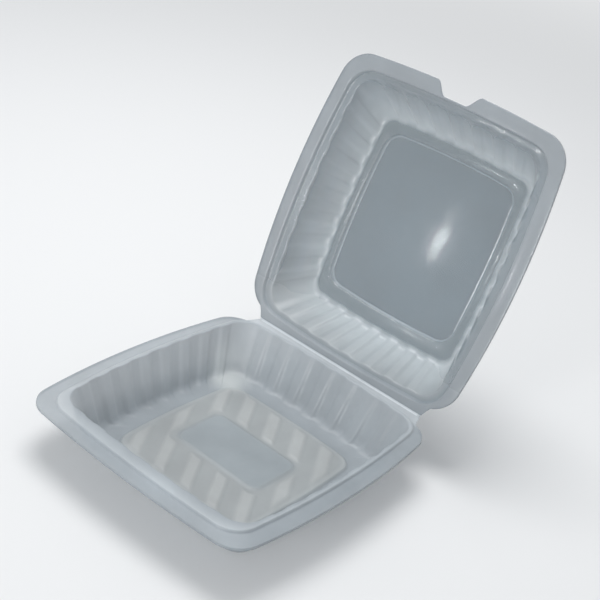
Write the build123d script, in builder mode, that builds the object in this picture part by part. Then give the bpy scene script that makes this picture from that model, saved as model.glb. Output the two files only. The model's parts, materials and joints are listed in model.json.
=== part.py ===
from build123d import *
from math import asin, cos, radians, sin
from typing import NamedTuple
import os

# A hinged take-away pack, formed from one thin sheet of polypropylene, standing open.
# Both halves are described as trays in rim coordinates: x across, y forward from the hinge crease,
# z as depth away from the rim plane. Two planes then put them in place, in millimetres.


class Ring(NamedTuple):
    """A rounded rectangle with bowed sides."""
    half_width: float       # from the centre to the middle of a side, across x
    half_length: float      # from the centre to the middle of an end, along y
    centre: float           # distance of the centre from the hinge crease
    corner: float           # corner radius
    side_bow: float         # how far a side bulges past its corners
    end_bow: float          # how far an end bulges past its corners


# Sheet
base_sheet = 0.7
lid_sheet = 0.6

# Rims: the two flanges lie face to face when the pack is closed
rim_gap = 0.4
lip_drop = 2.2
base_rim = Ring(115.0, 119.3, 127.6, 23.2, 6.1, 3.3)
lid_rim = Ring(115.0, 122.1, 127.2, 25.9, 6.1, 3.3)

# Locking step: the lid's recess fits over the base's plateau
recess = Ring(103.5, 115.3, 121.3, 23.0, 5.0, 2.5)
recess_depth = 3.2
recess_slope = 1.5
lock_clearance = 0.5
plateau_height = 2.4

# Base tub
base_depth = 40.0
base_mouth = Ring(98.6, 107.0, 117.3, 20.0, 4.5, 2.5)
base_foot = Ring(87.0, 91.8, 117.3, 15.0, 3.0, 2.0)
base_floor = Ring(70.0, 71.3, 117.3, 16.0, 2.0, 1.5)
floor_rise = 2.5

# Lid dome
lid_depth = 41.0
lid_mouth = Ring(95.0, 109.7, 121.3, 19.0, 4.0, 2.5)
lid_foot = Ring(80.5, 88.3, 119.9, 15.0, 3.0, 2.0)
lid_panel = Ring(69.2, 73.9, 121.5, 17.0, 2.0, 1.5)
panel_rise = 3.0

# Flutes in both walls, deep at the foot and fading towards the mouth
flute_pitch = 22.8
flute_depth = 2.6
flute_depth_at_mouth = 0.8
flute_flank = 0.4         # share of each half pitch that slopes

# Rounded foot of both walls
foot_height = 5.0
foot_width = 4.5
foot_turn = 0.3           # share of the foot's height and width left at its middle station
flute_fade = 0.8          # share of the flute depth kept at that station

# Slope of the low steps round the floor and round the panel
step_slope = 2.0

# Ribs and plain island on the base floor
rib_pitch = 23.8
rib_width = 10.0
rib_height = 1.0
rib_angle = 60.0
rib_offset = 3.0
rib_border = 5.0
island_width = 86.0
island_length = 52.0
island_corner = 9.0
island_margin = 5.0

# Finger notch in the front edge of the lid
notch_width = 44.0
notch_bottom = 20.0
notch_end = 238.0
notch_corner = 3.5
notch_lip_gap = 7.0       # the lip stops this far from each side of the notch

# Hinge crease
lean_back = 18.6
hinge_half_width = 87.0
hinge_bead = 0.8
hinge_clearance = 0.35
web_reach = 15.0
web_flare = 5.0
lip_end = 26.0

# Places of the two halves: the base stands on its gutter, centred on the origin
hinge_y = base_foot.centre
hinge_z = base_depth + base_sheet
base_plane = Plane(origin=(0, hinge_y, hinge_z), x_dir=(1, 0, 0), z_dir=(0, 0, -1))
lean = radians(lean_back)
lid_plane = Plane(origin=(0, hinge_y, hinge_z), x_dir=(-1, 0, 0), z_dir=(0, cos(lean), -sin(lean)))
flange_top = rim_gap / 2


def polar(centre, radius, angle):
    """The point at an angle round a centre."""
    return (centre[0] + radius * cos(angle), centre[1] + radius * sin(angle))


def side_arcs(ring):
    """For each side: centre, radius, middle angle and half angle of its arc, and the corner after it."""
    x = ring.half_width - ring.corner - ring.side_bow
    y = ring.half_length - ring.corner - ring.end_bow
    side = (y * y + ring.side_bow ** 2) / (2 * ring.side_bow)
    end = (x * x + ring.end_bow ** 2) / (2 * ring.end_bow)
    middle = ring.centre
    return [
        ((x + ring.side_bow - side, middle), side, 0, asin(y / side), (x, middle + y)),
        ((0, middle + y + ring.end_bow - end), end, 90, asin(x / end), (-x, middle + y)),
        ((side - x - ring.side_bow, middle), side, 180, asin(y / side), (-x, middle - y)),
        ((0, middle - y - ring.end_bow + end), end, 270, asin(x / end), (x, middle - y)),
    ]


def half_waves(mouth, foot):
    """Odd numbers of half waves along a wall's sides and ends, so that each run starts and ends alike."""
    width = mouth.half_width + foot.half_width - mouth.corner - foot.corner
    length = mouth.half_length + foot.half_length - mouth.corner - foot.corner
    return [2 * round((run / (flute_pitch / 2) - 1) / 2) + 1 for run in (length, width)]


def outline(ring, inset=0.0, waves=(1, 1), flute_height=0.0):
    """The edges of a ring, moved in by the inset, with its sides fluted where asked."""
    sides = side_arcs(ring)
    with BuildLine() as line:
        for number, (centre, radius, middle, half, corner) in enumerate(sides):
            count = waves[number % 2]
            reach = radius + ring.corner - inset
            start = radians(middle) - half
            step = 2 * half / count
            if count == 1:
                ThreePointArc(*[polar(centre, reach, start + part * half) for part in range(3)])
            else:
                flutes = [polar(centre, reach, start)]
                for wave in range(count):
                    offset = flute_height / 2 * (1 if wave % 2 else -1)
                    for share in (flute_flank / 2, 1 - flute_flank / 2):
                        flutes.append(polar(centre, reach + offset, start + (wave + share) * step))
                flutes.append(polar(centre, reach, start + 2 * half))
                Polyline(flutes)
            next_half = sides[(number + 1) % 4][3]
            turn_start = radians(middle) + half
            turn_end = radians(middle + 90) - next_half
            ThreePointArc(polar(corner, ring.corner - inset, turn_start),
                          polar(corner, ring.corner - inset, (turn_start + turn_end) / 2),
                          polar(corner, ring.corner - inset, turn_end))
    return line.edges()


def ring_face(plane, *shape):
    """The face inside an outline, on its plane."""
    with BuildSketch(plane) as sketch:
        make_face(outline(*shape))
    return sketch.sketch


def wall_sections(plane, mouth, foot, mouth_depth, foot_depth, skin=0.0):
    """The stations of a fluted wall from its mouth to the end of its rounded foot, moved out by the skin."""
    waves = half_waves(mouth, foot)
    bottom = foot_depth + skin
    return [
        ring_face(plane.offset(mouth_depth), mouth, -skin, waves, flute_depth_at_mouth),
        ring_face(plane.offset(bottom - foot_height), foot, -skin, waves, flute_depth),
        ring_face(plane.offset(bottom - foot_height * foot_turn), foot, foot_width * foot_turn - skin, waves,
                  flute_depth * flute_fade),
        ring_face(plane.offset(bottom), foot, foot_width - skin, waves, flute_depth_at_mouth),
    ]


def frustum_sections(plane, ring, start, end, slope, skin=0.0):
    """A ring at one depth and the same ring at another depth, moved in by the slope."""
    return [ring_face(plane.offset(start), ring, -skin), ring_face(plane.offset(end), ring, slope - skin)]


def flange_face(plane, rim, web_start, notch=False):
    """A rim's flange, with the web that runs to the hinge crease and the finger notch."""
    flare = hinge_half_width + web_flare
    neck = web_reach - 2 * web_flare
    front = rim.centre + rim.half_length
    with BuildSketch(plane) as sketch:
        make_face(outline(rim))
        with BuildLine():
            Polyline((-hinge_half_width, web_start), (hinge_half_width, web_start), (hinge_half_width, neck),
                     (flare, web_reach), (-flare, web_reach), (-hinge_half_width, neck), close=True)
        make_face()
        if notch:
            with BuildLine():
                Polyline((-notch_bottom / 2, notch_end), (notch_bottom / 2, notch_end),
                         (notch_width / 2, front), (notch_width / 2, front + lip_drop),
                         (-notch_width / 2, front + lip_drop), (-notch_width / 2, front), close=True)
            make_face(mode=Mode.SUBTRACT)
            corners = sketch.vertices().filter_by_position(Axis.X, -notch_width, notch_width)
            fillet(corners.filter_by_position(Axis.Y, rim.centre, front), notch_corner)
    return sketch.sketch


def lip_face(plane, rim, sheet, notch=False):
    """The strip under a rim's edge, left out along the hinge and at the notch."""
    with BuildSketch(plane) as sketch:
        make_face(outline(rim))
        make_face(outline(rim, sheet), mode=Mode.SUBTRACT)
        Rectangle(2 * (hinge_half_width + web_flare), 2 * lip_end, mode=Mode.SUBTRACT)
        if notch:
            with Locations((0, rim.centre + rim.half_length)):
                Rectangle(notch_width + 2 * notch_lip_gap, rim.corner, mode=Mode.SUBTRACT)
    return sketch.sketch


def rib_face(plane, inset):
    """The ribs of the floor as one sketch: slanting bars between the floor's border and the island."""
    reach = base_floor.half_width + base_floor.half_length
    count = 2 * int(reach / rib_pitch) + 1
    with BuildSketch(plane) as sketch:
        across = radians(rib_angle + 90)
        for bar in range(count):
            shift = (bar - count // 2) * rib_pitch + rib_offset
            with Locations((shift * cos(across), base_floor.centre + shift * sin(across))):
                Rectangle(2 * reach, rib_width - 2 * inset, rotation=rib_angle)
        make_face(outline(base_floor, step_slope + rib_border + inset), mode=Mode.INTERSECT)
        with Locations((0, base_floor.centre)):
            RectangleRounded(island_width + 2 * (island_margin + inset),
                             island_length + 2 * (island_margin + inset),
                             island_corner, mode=Mode.SUBTRACT)
    return sketch.sketch


def island_face(plane, inset):
    """The plain island in the middle of the floor."""
    with BuildSketch(plane) as sketch:
        with Locations((0, base_floor.centre)):
            RectangleRounded(island_width - 2 * inset, island_length - 2 * inset, island_corner - inset)
    return sketch.sketch


with BuildPart() as base_tray:
    plateau_top = flange_top - plateau_height
    plateau = recess._replace(half_width=recess.half_width - lock_clearance,
                              half_length=recess.half_length - lock_clearance,
                              corner=recess.corner - lock_clearance)
    slope = recess_slope * plateau_height / recess_depth
    slope_per_mm = recess_slope / recess_depth
    floor_top = base_depth - floor_rise
    # Flange, web and turned-down lip
    extrude(flange_face(base_plane.offset(flange_top), base_rim, 0), base_sheet, dir=base_plane.z_dir)
    extrude(lip_face(base_plane.offset(flange_top), base_rim, base_sheet), lip_drop, dir=base_plane.z_dir)
    # Plateau, hollow from below
    loft(frustum_sections(base_plane, plateau, flange_top, plateau_top, slope), ruled=True)
    under = plateau._replace(half_width=plateau.half_width - base_sheet * (1 - slope_per_mm),
                             half_length=plateau.half_length - base_sheet * (1 - slope_per_mm))
    loft(frustum_sections(base_plane, under, flange_top + base_sheet, plateau_top + base_sheet, slope),
         ruled=True, mode=Mode.SUBTRACT)
    # Tub
    loft(wall_sections(base_plane, base_mouth, base_foot, plateau_top, base_depth, base_sheet), ruled=True)
    loft(wall_sections(base_plane, base_mouth, base_foot, plateau_top, base_depth), ruled=True,
         mode=Mode.SUBTRACT)
    # Raised floor
    loft(frustum_sections(base_plane, base_floor, base_depth, floor_top, step_slope), ruled=True)
    extrude(rib_face(base_plane.offset(floor_top), 0), -rib_height, dir=base_plane.z_dir)
    extrude(island_face(base_plane.offset(floor_top), 0), -rib_height, dir=base_plane.z_dir)
    loft(frustum_sections(base_plane, base_floor, base_depth + base_sheet, floor_top + base_sheet, step_slope,
                          -base_sheet), ruled=True, mode=Mode.SUBTRACT)
    extrude(rib_face(base_plane.offset(floor_top + base_sheet), base_sheet), -rib_height,
            dir=base_plane.z_dir, mode=Mode.SUBTRACT)
    extrude(island_face(base_plane.offset(floor_top + base_sheet), base_sheet), -rib_height,
            dir=base_plane.z_dir, mode=Mode.SUBTRACT)
    # Bead on the hinge crease
    with Locations(Plane(origin=(0, hinge_y, hinge_z), z_dir=(1, 0, 0))):
        Cylinder(hinge_bead, 2 * hinge_half_width)

with BuildPart() as lid:
    recess_top = flange_top + recess_depth
    panel_top = lid_depth + panel_rise
    web_start = hinge_bead + hinge_clearance
    # Flange, web and turned-back lip
    extrude(flange_face(lid_plane.offset(flange_top), lid_rim, web_start, notch=True), lid_sheet,
            dir=lid_plane.z_dir)
    extrude(lip_face(lid_plane.offset(flange_top), lid_rim, lid_sheet, notch=True), lip_drop,
            dir=lid_plane.z_dir)
    # Outer form of the recess, the dome and the panel
    loft(frustum_sections(lid_plane, recess, flange_top, recess_top + lid_sheet, recess_slope, lid_sheet),
         ruled=True)
    loft(wall_sections(lid_plane, lid_mouth, lid_foot, recess_top, lid_depth, lid_sheet), ruled=True)
    loft(frustum_sections(lid_plane, lid_panel, lid_depth, panel_top + lid_sheet, step_slope, lid_sheet),
         ruled=True)
    # Inner form
    loft(frustum_sections(lid_plane, recess, flange_top, recess_top, recess_slope), ruled=True,
         mode=Mode.SUBTRACT)
    loft(wall_sections(lid_plane, lid_mouth, lid_foot, recess_top, lid_depth), ruled=True, mode=Mode.SUBTRACT)
    loft(frustum_sections(lid_plane, lid_panel, lid_depth, panel_top, step_slope), ruled=True,
         mode=Mode.SUBTRACT)

os.makedirs("parts", exist_ok=True)
base_tray.part.label = "base_tray"
lid.part.label = "lid"
export_step(base_tray.part, "parts/base_tray.step")
export_step(lid.part, "parts/lid.step")
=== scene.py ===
import json
from collections import namedtuple
from math import cos, radians, sin

import bpy
import numpy as np
from mathutils import Matrix, Vector


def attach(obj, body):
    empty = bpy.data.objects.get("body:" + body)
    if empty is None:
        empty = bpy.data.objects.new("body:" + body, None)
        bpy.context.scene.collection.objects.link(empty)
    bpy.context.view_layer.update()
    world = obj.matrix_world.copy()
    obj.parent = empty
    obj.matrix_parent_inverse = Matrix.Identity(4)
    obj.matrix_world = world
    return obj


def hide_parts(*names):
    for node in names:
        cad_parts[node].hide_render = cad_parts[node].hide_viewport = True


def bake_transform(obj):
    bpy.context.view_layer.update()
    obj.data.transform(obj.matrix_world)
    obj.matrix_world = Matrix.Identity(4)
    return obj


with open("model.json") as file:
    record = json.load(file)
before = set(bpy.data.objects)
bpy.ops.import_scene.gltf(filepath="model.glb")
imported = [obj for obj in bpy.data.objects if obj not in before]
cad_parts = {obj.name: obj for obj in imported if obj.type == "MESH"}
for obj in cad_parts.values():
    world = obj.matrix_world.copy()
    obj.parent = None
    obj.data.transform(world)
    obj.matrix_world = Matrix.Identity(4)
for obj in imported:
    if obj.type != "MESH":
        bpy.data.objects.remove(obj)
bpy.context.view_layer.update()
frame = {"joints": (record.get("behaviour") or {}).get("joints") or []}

# Sizes of the formed sheet in millimetres, as in the part. A tray is described in rim coordinates:
# x across, y forward from the hinge crease, depth away from the rim plane.
MM = 0.001
Ring = namedtuple("Ring", "half_width half_length centre corner side_bow end_bow")

BASE_SHEET = 0.7
LID_SHEET = 0.6
FLANGE = 0.2
BASE_RIM = Ring(115.0, 119.3, 127.6, 23.2, 6.1, 3.3)
LID_RIM = Ring(115.0, 122.1, 127.2, 25.9, 6.1, 3.3)

# The raised plateau of the base and the recess of the lid that fits over it
RECESS = Ring(103.5, 115.3, 121.3, 23.0, 5.0, 2.5)
RECESS_DEPTH = 3.2
RECESS_SLOPE = 1.5
LOCK_CLEARANCE = 0.5
PLATEAU_HEIGHT = 2.4

BASE_DEPTH = 40.0
BASE_MOUTH = Ring(98.6, 107.0, 117.3, 20.0, 4.5, 2.5)
BASE_FOOT = Ring(87.0, 91.8, 117.3, 15.0, 3.0, 2.0)
BASE_FLOOR = Ring(70.0, 71.3, 117.3, 16.0, 2.0, 1.5)
FLOOR_RISE = 2.5
LID_DEPTH = 41.0
LID_MOUTH = Ring(95.0, 109.7, 121.3, 19.0, 4.0, 2.5)
LID_FOOT = Ring(80.5, 88.3, 119.9, 15.0, 3.0, 2.0)
LID_PANEL = Ring(69.2, 73.9, 121.5, 17.0, 2.0, 1.5)
PANEL_RISE = 3.0
PANEL_DOME = 1.2
STEP_SLOPE = 2.0

# Fluted walls: how many bands, in and out by turns, a side and an end have, and how deep they are.
# The flanks take the stated share of a band.
FLUTE_BANDS = (15, 13)
FLUTE_DEPTH = 2.6
FLUTE_DEPTH_AT_MOUTH = 0.8
FLUTE_FLANK = 0.4
FOOT_INSET = 0.6

# Slanting ribs round a plain island on the base's floor, with the widths of their soft edges
RIB_PITCH = 23.8
RIB_WIDTH = 10.0
RIB_HEIGHT = 1.0
RIB_ANGLE = 60.0
RIB_OFFSET = 3.0
RIB_BORDER = 5.0
RIB_FIELD_CORNER = 10.0
RIB_FLANK = 4.5
RIB_END = 5.0
ISLAND_WIDTH = 86.0
ISLAND_LENGTH = 52.0
ISLAND_CORNER = 9.0
ISLAND_MARGIN = 5.0
ISLAND_FLANK = 2.0
ISLAND_SHADE = 9.0

# The lip of both rims and the finger notch of the lid
LIP_ROOT = 0.15
LIP_DROP = 2.2
NOTCH_WIDTH = 44.0
NOTCH_BOTTOM = 20.0
NOTCH_END = 238.0
NOTCH_LIP_GAP = 8.0
NOTCH_LIP_CUT = 0.7

# The web that reaches the hinge, and the thin crease that overlaps both webs
HINGE_HALF_WIDTH = 87.0
WEB_FLARE = 5.0
WEB_START = 1.15
WEB_END = 26.0
CREASE_SHEET = 0.4
CREASE_OVERLAP = 0.4
CREASE_DEPTH = 0.3

# Radii of the rounded turns of each half, from the lip to the floor or panel
BASE_TURNS = (0.8, 0.9, 1.0, 1.4, 5.5, 1.6, 1.6)
LID_TURNS = (0.8, 0.9, 1.0, 1.4, 3.2, 0.5, 1.6, 0.9, 0.5)
LONGEST_TURN = 0.45

# Vertices along one band, round one corner and round one turn, rings across a floor or panel with
# the last one's share of the first, and vertices round and along the crease
BAND_STEPS = 7
CORNER_STEPS = 14
TURN_STEPS = 4
FLOOR_RINGS = 54
PANEL_RINGS = 36
LAST_RING = 0.01
CREASE_STEPS = 13
CREASE_COLUMNS = 41

# Tones of the cloudy sheet, as linear colours: pale where it is folded or little drawn. The lid's tones are
# darkened below the base's as painted shade, and some pale tones are painted highlights, as marked below
RIM_TONE = (0.38, 0.42, 0.45)
RIM_FOLD_TONE = (0.53, 0.57, 0.60)
EDGE_TONE = (0.62, 0.66, 0.69)
BASE_WALL_TONE = (0.43, 0.47, 0.50)
BASE_FOLD_TONE = (0.56, 0.59, 0.60)
BASE_FLOOR_TONE = (0.46, 0.485, 0.49)
RIB_TONE = (0.55, 0.57, 0.57)
ISLAND_TONE = (0.41, 0.455, 0.48)
# The lid is the same sheet as the base, but its tones are darker as painted shade, darkest on the panel
LID_RIM_SHADED_TONE = (0.28, 0.32, 0.35)
LID_WALL_SHADED_TONE = (0.20, 0.25, 0.285)
# The lid's foot fold is pale partly from stress whitening and partly as a painted highlight
LID_FOLD_WHITENING_AND_HIGHLIGHT_TONE = (0.58, 0.64, 0.67)
LID_MARGIN_SHADED_TONE = (0.15, 0.21, 0.245)
PANEL_EDGE_SHADED_TONE = (0.30, 0.36, 0.40)
LID_PANEL_SHADED_TONE = (0.13, 0.19, 0.232)

# Widths of the lid's pale lines: the one inside its foot, partly stress whitening and partly a painted
# highlight, and the one round its panel
FOOT_HIGHLIGHT_LINE = 6.0
BORDER_LINE = 1.4

# Painted highlights on the base: a pale band on its rim along the hinge, and a pale patch in the rear corner
# of its gutter
REAR_RIM_HIGHLIGHT_TONE = (0.62, 0.66, 0.69)
REAR_HIGHLIGHT_END = 16.0
REAR_HIGHLIGHT_FADE = 8.0
CORNER_HIGHLIGHT_TONE = (0.80, 0.83, 0.82)
CORNER_HIGHLIGHT_AT = (-72.0, 46.0)
CORNER_HIGHLIGHT_REACH = 24.0

# The lid's cloudy, dull stretch near the hinge, paler partly from haze and partly as a painted sheen of the
# overhead light
HAZE_AND_SHEEN_TONE = (0.33, 0.37, 0.39)
CLOUDY_END = 50.0
CLOUDY_FADE = 25.0
CLOUDY_ROUGHNESS = 0.34

# Unevenness of the plastic: scales per metre, spreads as shares and the waves' height in metres
PLASTIC_IOR = 1.49
CLOUD_SCALE = 24
CLOUD_SPREAD = 0.08
ROUGHNESS_SCALE = 60
ROUGHNESS_SPREAD = 0.2
WAVE_SCALE = 35
WAVE_STRENGTH = 0.04
WAVE_HEIGHT = 0.0006

# Octaves of the fine and the smooth noises, and the range that most of a noise's values lie in
FINE_DETAIL = 4
SMOOTH_DETAIL = 1
NOISE_LOW = 0.3
NOISE_HIGH = 0.7

# Places of the two halves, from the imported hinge
hinge = frame["joints"][0]
hinge_at = Vector(hinge["pos_m"])
lean = radians(hinge["range_deg"][1] - 90)
BASE_AXES = (Vector((1, 0, 0)), Vector((0, -1, 0)), Vector((0, 0, -1)))
LID_AXES = (Vector((-1, 0, 0)), Vector((0, sin(lean), cos(lean))), Vector((0, cos(lean), -sin(lean))))

# The photograph's view: direction, distance and lens were fitted to the pack's outlines
AZIMUTH, ELEVATION, ROLL = radians(33.6), radians(28.84), radians(12.93)
AIM = Vector((-47.5, 112.2, 81.9)) * MM
DISTANCE = 1050 * MM
LENS = 75.24
SENSOR = 36
AHEAD = Vector((-sin(AZIMUTH) * cos(ELEVATION), cos(AZIMUTH) * cos(ELEVATION), -sin(ELEVATION)))
EYE = AIM - AHEAD * DISTANCE

# The studio, in metres and watts. The glint lights the lid's foot line.
Lamp = namedtuple("Lamp", "at aim size power")
OVERHEAD = Lamp((-0.35, 0.25, 1.5), (0, 0.05, 0.05), (0.9, 0.9), 15.5)
LOW_FRONT = Lamp((0.05, -1.72, 0.49), (0, 0.15, 0.15), (0.45, 0.5), 4)
GLINT = Lamp((0.05, -1.72, 0.49), (0, 0.15, 0.15), (0.13, 0.5), 6)
BACKDROP = (0.83, 0.84, 0.85, 1)
SKY = (0.92, 0.96, 1.0, 1)
SKY_STRENGTH = 0.5
FLOOR_HALF_SIZE = 12.0
FLOOR_COLOUR = (0.8, 0.8, 0.8, 1)
FLOOR_ROUGHNESS = 0.9
FLOOR_FADE_START = 0.7
FLOOR_FADE_END = 2.4

# Strip lamps that the lid's panel mirrors: the streak's places in rim coordinates, then its lamps
STREAK_AT = (-31.0, 126.0)
STREAK_SIZE = (0.006, 0.06)
STREAK_POWER = 0.1
STREAK_TAIL_AT = (-31.0, 147.0)
STREAK_TAIL_SIZE = (0.010, 0.12)
STREAK_TAIL_POWER = 0.022
LAMP_REACH = 1.6


def smooth(t):
    """A soft step from 0 to 1."""
    t = np.clip(t, 0, 1)
    return t * t * (3 - 2 * t)


def nearness(y, end, fade):
    """1 near the hinge, falling to 0 at the end."""
    return smooth((end - y) / fade)


def mixed(tone, other, share):
    """One tone turned into another by a share that differs from point to point."""
    return np.array(tone) + np.asarray(share)[:, None] * (np.array(other) - np.array(tone))


def side_arcs(ring):
    """Centre, radius, middle angle and half angle of each side's arc, and the corner after it."""
    x = ring.half_width - ring.corner - ring.side_bow
    y = ring.half_length - ring.corner - ring.end_bow
    side = (y * y + ring.side_bow ** 2) / (2 * ring.side_bow)
    end = (x * x + ring.end_bow ** 2) / (2 * ring.end_bow)
    mid = ring.centre
    return [
        ((x + ring.side_bow - side, mid), side, 0, np.arcsin(y / side), (x, mid + y)),
        ((0, mid + y + ring.end_bow - end), end, 90, np.arcsin(x / end), (-x, mid + y)),
        ((side - x - ring.side_bow, mid), side, 180, np.arcsin(y / side), (-x, mid - y)),
        ((0, mid - y - ring.end_bow + end), end, 270, np.arcsin(x / end), (x, mid - y)),
    ]


def arc(centre, reach, angle):
    """Points round a centre."""
    return np.stack([centre[0] + reach * np.cos(angle), centre[1] + reach * np.sin(angle)], 1)


def flute_wave(share, bands):
    """The bands along a side, in and out between -1 and 1, with flat crests and soft flanks."""
    phase = share * bands
    index = np.floor(phase)
    flank = np.minimum(phase - index, 1 - (phase - index)) / (FLUTE_FLANK / 2)
    return np.where(index % 2 > 0, 1, -1) * np.sin(np.clip(flank, 0, 1) * np.pi / 2)


def loop(ring, inset=0.0, flute_depth=0.0):
    """The points of a ring's outline, moved in by the inset, with its sides fluted."""
    sides = side_arcs(ring)
    points = []
    for number, (centre, radius, middle, half, corner) in enumerate(sides):
        bands = FLUTE_BANDS[number % 2]
        share = np.linspace(0, 1, bands * BAND_STEPS + 1)[:-1]
        reach = radius + ring.corner - inset + flute_wave(share, bands) * flute_depth / 2
        points.append(arc(centre, reach, radians(middle) - half + share * 2 * half))
        next_half = sides[(number + 1) % 4][3]
        start, end = radians(middle) + half, radians(middle + 90) - next_half
        points.append(arc(corner, ring.corner - inset, np.linspace(start, end, CORNER_STEPS + 1)[:-1]))
    return np.concatenate(points)


def at_depth(points, depth, tone):
    """A flat loop put at a depth, which may differ from point to point, with its tone."""
    return np.column_stack([points, np.broadcast_to(depth, len(points)),
                            np.broadcast_to(tone, (len(points), 3))])


def rim_edge(rim, notch):
    """The rim's edge with the web that reaches the hinge, and the finger notch."""
    points = loop(rim)
    x, y = np.abs(points[:, 0]), points[:, 1]
    rear = y < WEB_END
    web = smooth((HINGE_HALF_WIDTH + WEB_FLARE - x) / WEB_FLARE) * rear
    y = y + (WEB_START - y) * web
    if notch:
        slope = (x - NOTCH_BOTTOM / 2) / (NOTCH_WIDTH / 2 - NOTCH_BOTTOM / 2)
        front = y > rim.centre
        cut = NOTCH_END + (rim.centre + rim.half_length - NOTCH_END) * smooth(slope)
        y = np.where(front & (x < NOTCH_WIDTH / 2), np.minimum(y, cut), y)
    points[:, 1] = y
    return points


def lip_depth(rim, notch):
    """How far the lip turns away from the flange: not at all along the hinge, a little at the notch."""
    points = loop(rim)
    x, y = np.abs(points[:, 0]), points[:, 1]
    reach = 1 - smooth((HINGE_HALF_WIDTH + 2 * WEB_FLARE - x) / WEB_FLARE) * (y < WEB_END)
    if notch:
        near = smooth((NOTCH_WIDTH / 2 + NOTCH_LIP_GAP - x) / NOTCH_LIP_GAP)
        reach = reach * (1 - NOTCH_LIP_CUT * near * (y > rim.centre))
    return FLANGE + LIP_ROOT + LIP_DROP * reach


def rounded(loops, radii):
    """The loops with a rounded turn in place of each sharp one."""
    made = [loops[0]]
    for before, here, after, radius in zip(loops, loops[1:], loops[2:], radii):
        back, ahead = before - here, after - here
        back_length = np.linalg.norm(back[:, :3], axis=1, keepdims=True)
        ahead_length = np.linalg.norm(ahead[:, :3], axis=1, keepdims=True)
        first = here + back * np.minimum(radius / back_length, LONGEST_TURN)
        last = here + ahead * np.minimum(radius / ahead_length, LONGEST_TURN)
        for share in np.linspace(0, 1, TURN_STEPS):
            made.append((1 - share) ** 2 * first + 2 * share * (1 - share) * here + share ** 2 * last)
    made.append(loops[-1])
    return made


def inner_rings(border, centre, count, tone):
    """The border drawn in towards the middle, ring by ring, to a small last one."""
    middle = np.array([0, centre, *border[0, 2:]])
    rings = [middle + (border - middle) * share for share in np.linspace(1, LAST_RING, count)[1:]]
    for ring in rings:
        ring[:, 3:] = tone
    return rings


def box_distance(x, y, half_x, half_y, corner):
    """Signed distance from a rounded rectangle."""
    qx = np.abs(x) - half_x + corner
    qy = np.abs(y) - half_y + corner
    return np.hypot(np.maximum(qx, 0), np.maximum(qy, 0)) + np.minimum(np.maximum(qx, qy), 0) - corner


def floor_fields(x, y):
    """Where the floor's ribs, its island and the island's soft shade lie, from 0 to 1."""
    y = y - BASE_FLOOR.centre
    turn = radians(RIB_ANGLE)
    across = -(x * sin(turn)) + y * cos(turn) - RIB_OFFSET
    off = np.abs((across / RIB_PITCH + 0.5) % 1 - 0.5) * RIB_PITCH
    bar = smooth((RIB_WIDTH / 2 - off) / RIB_FLANK + 0.5)
    field_x = BASE_FLOOR.half_width - STEP_SLOPE - RIB_BORDER
    field_y = BASE_FLOOR.half_length - STEP_SLOPE - RIB_BORDER
    inside = -box_distance(x, y, field_x, field_y, RIB_FIELD_CORNER)
    outside = box_distance(x, y, ISLAND_WIDTH / 2 + ISLAND_MARGIN, ISLAND_LENGTH / 2 + ISLAND_MARGIN,
                           ISLAND_CORNER)
    ribs = bar * smooth(inside / RIB_END + 0.5) * smooth(outside / RIB_END + 0.5)
    edge = box_distance(x, y, ISLAND_WIDTH / 2, ISLAND_LENGTH / 2, ISLAND_CORNER)
    return ribs, smooth(0.5 - edge / ISLAND_FLANK), smooth(0.5 - edge / ISLAND_SHADE)


def shape_floor(rings):
    """Raises the ribs and the island of the base's floor, and gives them their tones."""
    for ring in rings:
        ribs, island, shade = floor_fields(ring[:, 0], ring[:, 1])
        ring[:, 2] -= RIB_HEIGHT * np.maximum(ribs, island)
        ring[:, 3:] = mixed(ring[:, 3:], RIB_TONE, ribs)
        ring[:, 3:] = mixed(ring[:, 3:], ISLAND_TONE, shade)


def paint_corner_highlight(loops):
    """A painted highlight: the paler rear corner of the base's gutter."""
    for ring in loops:
        away = np.hypot(ring[:, 0] - CORNER_HIGHLIGHT_AT[0], ring[:, 1] - CORNER_HIGHLIGHT_AT[1])
        share = smooth(1 - away / CORNER_HIGHLIGHT_REACH) * (ring[:, 2] > BASE_DEPTH / 2)
        ring[:, 3:] = mixed(ring[:, 3:], CORNER_HIGHLIGHT_TONE, share)


def dome_panel(rings):
    """Bends the lid's panel a little towards the food."""
    for ring in rings:
        across = np.minimum(np.abs(ring[:, 0]) / LID_PANEL.half_width, 1)
        along = np.minimum(np.abs(ring[:, 1] - LID_PANEL.centre) / LID_PANEL.half_length, 1)
        ring[:, 2] -= PANEL_DOME * (1 - across ** 2) * (1 - along ** 4)


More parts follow.
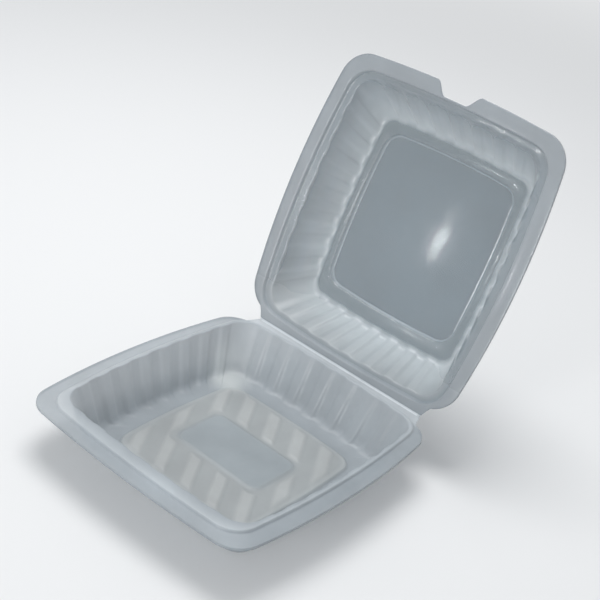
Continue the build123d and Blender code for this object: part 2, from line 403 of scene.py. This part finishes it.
def base_loops():
    """The food side of the base, from the end of its lip to the middle of its floor."""
    plateau = RECESS._replace(half_width=RECESS.half_width - LOCK_CLEARANCE,
                              half_length=RECESS.half_length - LOCK_CLEARANCE,
                              corner=RECESS.corner - LOCK_CLEARANCE)
    top = FLANGE - PLATEAU_HEIGHT
    slope = RECESS_SLOPE * PLATEAU_HEIGHT / RECESS_DEPTH
    edge = rim_edge(BASE_RIM, False)
    floor = at_depth(loop(BASE_FLOOR, STEP_SLOPE), BASE_DEPTH - FLOOR_RISE, BASE_FOLD_TONE)
    rings = inner_rings(floor, BASE_FLOOR.centre, FLOOR_RINGS, BASE_FLOOR_TONE)
    # A painted highlight: the rim and the plateau's edge turn pale along the hinge
    rear = nearness(loop(plateau)[:, 1], REAR_HIGHLIGHT_END, REAR_HIGHLIGHT_FADE)
    rim_tone_with_highlight = mixed(RIM_TONE, REAR_RIM_HIGHLIGHT_TONE, rear)
    turns = [
        at_depth(edge, lip_depth(BASE_RIM, False), RIM_TONE),
        at_depth(edge, FLANGE, rim_tone_with_highlight),
        at_depth(loop(plateau), FLANGE, rim_tone_with_highlight),
        at_depth(loop(plateau, slope), top, mixed(RIM_FOLD_TONE, REAR_RIM_HIGHLIGHT_TONE, rear)),
        at_depth(loop(BASE_MOUTH, 0, FLUTE_DEPTH_AT_MOUTH), top, BASE_WALL_TONE),
        at_depth(loop(BASE_FOOT, FOOT_INSET, FLUTE_DEPTH), BASE_DEPTH, BASE_WALL_TONE),
        at_depth(loop(BASE_FLOOR), BASE_DEPTH, BASE_WALL_TONE),
        floor,
        rings[1],
    ]
    made = rounded(turns, BASE_TURNS)[:-1] + rings[2:]
    shape_floor(made[-len(rings):])
    paint_corner_highlight(made)
    return made


def lid_loops():
    """The food side of the lid, from the end of its lip to the middle of its panel."""
    top = FLANGE + RECESS_DEPTH
    panel_top = LID_DEPTH + PANEL_RISE
    edge = rim_edge(LID_RIM, True)
    mouth = loop(LID_MOUTH, 0, FLUTE_DEPTH_AT_MOUTH)
    cloudy = nearness(mouth[:, 1], CLOUDY_END, CLOUDY_FADE)
    panel = at_depth(loop(LID_PANEL, STEP_SLOPE), panel_top, PANEL_EDGE_SHADED_TONE)
    rings = inner_rings(panel, LID_PANEL.centre, PANEL_RINGS, LID_PANEL_SHADED_TONE)
    turns = [
        at_depth(edge, lip_depth(LID_RIM, True), LID_RIM_SHADED_TONE),
        at_depth(edge, FLANGE, LID_RIM_SHADED_TONE),
        at_depth(loop(RECESS), FLANGE, LID_RIM_SHADED_TONE),
        at_depth(loop(RECESS, RECESS_SLOPE), top, LID_WALL_SHADED_TONE),
        # Paler near the hinge: partly haze of the sheet, partly a painted sheen
        at_depth(mouth, top, mixed(LID_WALL_SHADED_TONE, HAZE_AND_SHEEN_TONE, cloudy)),
        # The pale foot fold, fading inwards to the margin: partly stress whitening, partly a painted
        # highlight
        at_depth(loop(LID_FOOT, FOOT_INSET, FLUTE_DEPTH), LID_DEPTH, LID_FOLD_WHITENING_AND_HIGHLIGHT_TONE),
        at_depth(loop(LID_FOOT, FOOT_HIGHLIGHT_LINE), LID_DEPTH, LID_MARGIN_SHADED_TONE),
        at_depth(loop(LID_PANEL), LID_DEPTH, LID_MARGIN_SHADED_TONE),
        panel,
        at_depth(loop(LID_PANEL, STEP_SLOPE + BORDER_LINE), panel_top, LID_PANEL_SHADED_TONE),
        rings[1],
    ]
    made = rounded(turns, LID_TURNS)[:-1] + rings[2:]
    dome_panel(made[-len(rings):])
    return made


def new_piece(name, points, faces, materials):
    """A smooth mesh object in the scene."""
    mesh = bpy.data.meshes.new(name)
    mesh.from_pydata(points, [], faces)
    mesh.update()
    for material in materials:
        mesh.materials.append(material)
    for polygon in mesh.polygons:
        polygon.use_smooth = True
    piece = bpy.data.objects.new(name, mesh)
    bpy.context.scene.collection.objects.link(piece)
    return piece


def loop_faces(loops):
    """The quads between the loops, and a cap on the last one."""
    count = len(loops[0])
    start = np.arange(len(loops) - 1)[:, None] * count
    here = np.arange(count)[None, :]
    ahead = (here + 1) % count
    quads = np.stack([start + here, start + count + here, start + count + ahead, start + ahead], -1)
    last = (len(loops) - 1) * count
    return quads.reshape(-1, 4).tolist() + [[last + i for i in reversed(range(count))]]


def sheet_piece(name, loops, axes, thickness, body, node, materials, cloudy_end=0):
    """A closed thin sheet whose food side passes through the loops."""
    rows = np.concatenate(loops)
    tones = np.column_stack([rows[:, 3:], nearness(rows[:, 1], cloudy_end, CLOUDY_FADE)])
    turn = np.array([list(axis) for axis in axes])
    points = rows[:, :3] * MM @ turn + np.array(hinge_at)
    piece = new_piece(name, points.tolist(), loop_faces(loops), materials)
    paint = piece.data.color_attributes.new("tone", "FLOAT_COLOR", "POINT")
    paint.data.foreach_set("color", tones.ravel())
    solid = piece.modifiers.new("sheet", "SOLIDIFY")
    solid.thickness = thickness * MM
    solid.offset = -1
    solid.use_even_offset = False
    solid.material_offset_rim = 1
    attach(piece, body)
    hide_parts(node)
    return piece


def crease_piece(material):
    """The thin web that bends round the hinge line and joins the two halves."""
    depth = FLANGE + CREASE_DEPTH
    base_end, lid_end = (hinge_at + (axes[1] * (WEB_START + CREASE_OVERLAP) + axes[2] * depth) * MM
                         for axes in (BASE_AXES, LID_AXES))
    turn = hinge_at + (BASE_AXES[2] + LID_AXES[2]) * depth * MM
    shares = np.linspace(0, 1, CREASE_STEPS)
    section = [base_end * (1 - s) ** 2 + turn * 2 * s * (1 - s) + lid_end * s ** 2 for s in shares]
    across = np.linspace(-HINGE_HALF_WIDTH, HINGE_HALF_WIDTH, CREASE_COLUMNS) * MM
    points = [(x, p.y, p.z) for x in across for p in section]
    step = len(section)
    faces = [(i * step + j, i * step + j + 1, (i + 1) * step + j + 1, (i + 1) * step + j)
             for i in range(len(across) - 1) for j in range(step - 1)]
    piece = new_piece("hinge_crease", points, faces, [material])
    solid = piece.modifiers.new("sheet", "SOLIDIFY")
    solid.thickness = CREASE_SHEET * MM
    solid.offset = 0
    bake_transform(piece)
    return piece


def object_noise(tree, scale, detail):
    """A noise fixed to the object, about 0.5 on average."""
    place = tree.nodes.new("ShaderNodeTexCoord")
    texture = tree.nodes.new("ShaderNodeTexNoise")
    texture.inputs["Scale"].default_value = scale
    texture.inputs["Detail"].default_value = detail
    tree.links.new(place.outputs["Object"], texture.inputs["Vector"])
    return texture.outputs["Fac"]


def spread(tree, value, middle, share):
    """A noise turned into values about a middle one, by a share up and down."""
    span = tree.nodes.new("ShaderNodeMapRange")
    span.inputs["From Min"].default_value = NOISE_LOW
    span.inputs["From Max"].default_value = NOISE_HIGH
    span.inputs["To Min"].default_value = middle * (1 - share)
    span.inputs["To Max"].default_value = middle * (1 + share)
    tree.links.new(value, span.inputs["Value"])
    return span.outputs["Result"]


def waves(tree):
    """The surface direction of a slightly wavy sheet."""
    bump = tree.nodes.new("ShaderNodeBump")
    bump.inputs["Strength"].default_value = WAVE_STRENGTH
    bump.inputs["Distance"].default_value = WAVE_HEIGHT
    tree.links.new(object_noise(tree, WAVE_SCALE, SMOOTH_DETAIL), bump.inputs["Height"])
    return bump.outputs["Normal"]


def plastic(name, cover, rough, gloss=0.5, tint=None):
    """Cloudy see-through polypropylene, with the tones painted on the sheet, partly painted light and shade,
    and its dullness unless it has a tint.
    """
    material = bpy.data.materials.new(name)
    material.use_nodes = True
    tree = material.node_tree
    shader = tree.nodes["Principled BSDF"]
    shader.inputs["IOR"].default_value = PLASTIC_IOR
    shader.inputs["Specular IOR Level"].default_value = gloss
    shader.inputs["Alpha"].default_value = cover
    clouds = tree.nodes.new("ShaderNodeMix")
    clouds.data_type = "RGBA"
    clouds.blend_type = "MULTIPLY"
    clouds.inputs["Factor"].default_value = 1.0
    brightness = spread(tree, object_noise(tree, CLOUD_SCALE, FINE_DETAIL), 1, CLOUD_SPREAD)
    roughness = spread(tree, object_noise(tree, ROUGHNESS_SCALE, FINE_DETAIL), rough, ROUGHNESS_SPREAD)
    if tint:
        clouds.inputs["A"].default_value = (*tint, 1)
    else:
        tone = tree.nodes.new("ShaderNodeVertexColor")
        tone.layer_name = "tone"
        tree.links.new(tone.outputs["Color"], clouds.inputs["A"])
        dull = tree.nodes.new("ShaderNodeMix")
        dull.inputs["B"].default_value = CLOUDY_ROUGHNESS
        tree.links.new(roughness, dull.inputs["A"])
        tree.links.new(tone.outputs["Alpha"], dull.inputs["Factor"])
        roughness = dull.outputs["Result"]
    tree.links.new(brightness, clouds.inputs["B"])
    tree.links.new(clouds.outputs["Result"], shader.inputs["Base Color"])
    tree.links.new(roughness, shader.inputs["Roughness"])
    tree.links.new(waves(tree), shader.inputs["Normal"])
    return material


def area_light(name, at, aim, size, power):
    """A soft rectangular lamp that points at a place."""
    lamp = bpy.data.lights.new(name, "AREA")
    lamp.shape = "RECTANGLE"
    lamp.size, lamp.size_y = size
    lamp.energy = power
    holder = bpy.data.objects.new(name, lamp)
    holder.location = at
    holder.rotation_euler = (Vector(aim) - Vector(at)).to_track_quat("-Z", "Y").to_euler()
    bpy.context.scene.collection.objects.link(holder)


def mirrored_light(name, place, size, power):
    """A lamp that the camera sees mirrored at a place of the lid's panel."""
    across, along, depth = LID_AXES
    at = hinge_at + (across * place[0] + along * place[1] + depth * (LID_DEPTH + PANEL_RISE)) * MM
    towards = (EYE - at).normalized()
    mirrored = 2 * towards.dot(depth) * depth - towards
    area_light(name, at + mirrored * LAMP_REACH, at, size, power)


def seen_directly(tree):
    """1 for what the camera sees, also through or mirrored in the pack, and 0 for its lighting."""
    path = tree.nodes.new("ShaderNodeLightPath")
    total = path.outputs["Is Camera Ray"]
    for kind in ("Is Glossy Ray", "Is Transmission Ray"):
        most = tree.nodes.new("ShaderNodeMath")
        most.operation = "MAXIMUM"
        tree.links.new(total, most.inputs[0])
        tree.links.new(path.outputs[kind], most.inputs[1])
        total = most.outputs["Value"]
    return total


def mix_shaders(tree, share, first, second):
    """The first shader turned into the second by a share."""
    blend = tree.nodes.new("ShaderNodeMixShader")
    tree.links.new(share, blend.inputs["Fac"])
    tree.links.new(first, blend.inputs[1])
    tree.links.new(second, blend.inputs[2])
    return blend.outputs["Shader"]


def distance_fade(tree):
    """0 near the pack, rising to 1 far away on the floor."""
    place = tree.nodes.new("ShaderNodeTexCoord")
    reach = tree.nodes.new("ShaderNodeVectorMath")
    reach.operation = "LENGTH"
    tree.links.new(place.outputs["Object"], reach.inputs[0])
    fade = tree.nodes.new("ShaderNodeMapRange")
    fade.interpolation_type = "SMOOTHSTEP"
    fade.inputs["From Min"].default_value = FLOOR_FADE_START
    fade.inputs["From Max"].default_value = FLOOR_FADE_END
    tree.links.new(reach.outputs["Value"], fade.inputs["Value"])
    return fade.outputs["Result"]


def floor_paint():
    """Matt pale paint that turns into the plain backdrop with distance."""
    paint = bpy.data.materials.new("floor")
    paint.use_nodes = True
    tree = paint.node_tree
    shader = tree.nodes["Principled BSDF"]
    shader.inputs["Base Color"].default_value = FLOOR_COLOUR
    shader.inputs["Roughness"].default_value = FLOOR_ROUGHNESS
    glow = tree.nodes.new("ShaderNodeEmission")
    glow.inputs["Color"].default_value = BACKDROP
    share = tree.nodes.new("ShaderNodeMath")
    share.operation = "MULTIPLY"
    tree.links.new(distance_fade(tree), share.inputs[0])
    tree.links.new(seen_directly(tree), share.inputs[1])
    surface = mix_shaders(tree, share.outputs["Value"], shader.outputs["BSDF"], glow.outputs["Emission"])
    tree.links.new(surface, tree.nodes["Material Output"].inputs["Surface"])
    return paint


def floor_piece():
    """A plain pale floor, the only staging."""
    corners = [(-1, -1), (1, -1), (1, 1), (-1, 1)]
    mesh = bpy.data.meshes.new("floor")
    mesh.from_pydata([(x * FLOOR_HALF_SIZE, y * FLOOR_HALF_SIZE, 0) for x, y in corners], [], [(0, 1, 2, 3)])
    mesh.materials.append(floor_paint())
    floor = bpy.data.objects.new("floor", mesh)
    bpy.context.scene.collection.objects.link(floor)


def surroundings():
    """Soft light from all round, behind which the camera sees the plain backdrop."""
    world = bpy.data.worlds.new("studio")
    world.use_nodes = True
    tree = world.node_tree
    sky = tree.nodes["Background"]
    sky.inputs["Color"].default_value = SKY
    sky.inputs["Strength"].default_value = SKY_STRENGTH
    plain = tree.nodes.new("ShaderNodeBackground")
    plain.inputs["Color"].default_value = BACKDROP
    surface = mix_shaders(tree, seen_directly(tree), sky.outputs["Background"], plain.outputs["Background"])
    tree.links.new(surface, tree.nodes["World Output"].inputs["Surface"])
    bpy.context.scene.world = world


def lamps():
    """A soft lamp above, low ones in front, and strips for the streak on the lid's panel."""
    area_light("overhead", *OVERHEAD)
    area_light("low_front", *LOW_FRONT)
    area_light("glint", *GLINT)
    mirrored_light("strip", STREAK_AT, STREAK_SIZE, STREAK_POWER)
    mirrored_light("strip_tail", STREAK_TAIL_AT, STREAK_TAIL_SIZE, STREAK_TAIL_POWER)


def camera():
    """The photograph's view: a slightly rolled camera looking down at the open pack."""
    level = AHEAD.cross(Vector((0, 0, 1))).normalized()
    above = level.cross(AHEAD)
    right = level * cos(ROLL) + above * sin(ROLL)
    up = above * cos(ROLL) - level * sin(ROLL)
    data = bpy.data.cameras.new("view")
    data.sensor_width = SENSOR
    data.lens = LENS
    holder = bpy.data.objects.new("view", data)
    turn = Matrix((right, up, -AHEAD)).transposed().to_4x4()
    holder.matrix_world = Matrix.Translation(EYE) @ turn
    bpy.context.scene.collection.objects.link(holder)
    bpy.context.scene.camera = holder


base_plastic = plastic("base_plastic", cover=0.58, rough=0.4)
lid_plastic = plastic("lid_plastic", cover=0.6, rough=0.1, gloss=0.9)
edge_plastic = plastic("edge_plastic", cover=0.9, rough=0.4, tint=EDGE_TONE)
sheet_piece("base_tray_sheet", base_loops(), BASE_AXES, BASE_SHEET, "base", "base_tray",
            (base_plastic, edge_plastic))
sheet_piece("lid_sheet", lid_loops(), LID_AXES, LID_SHEET, "lid", "lid",
            (lid_plastic, edge_plastic), CLOUDY_END)
crease_piece(edge_plastic)
floor_piece()
surroundings()
lamps()
camera()

bpy.context.scene.view_settings.view_transform = "Standard"
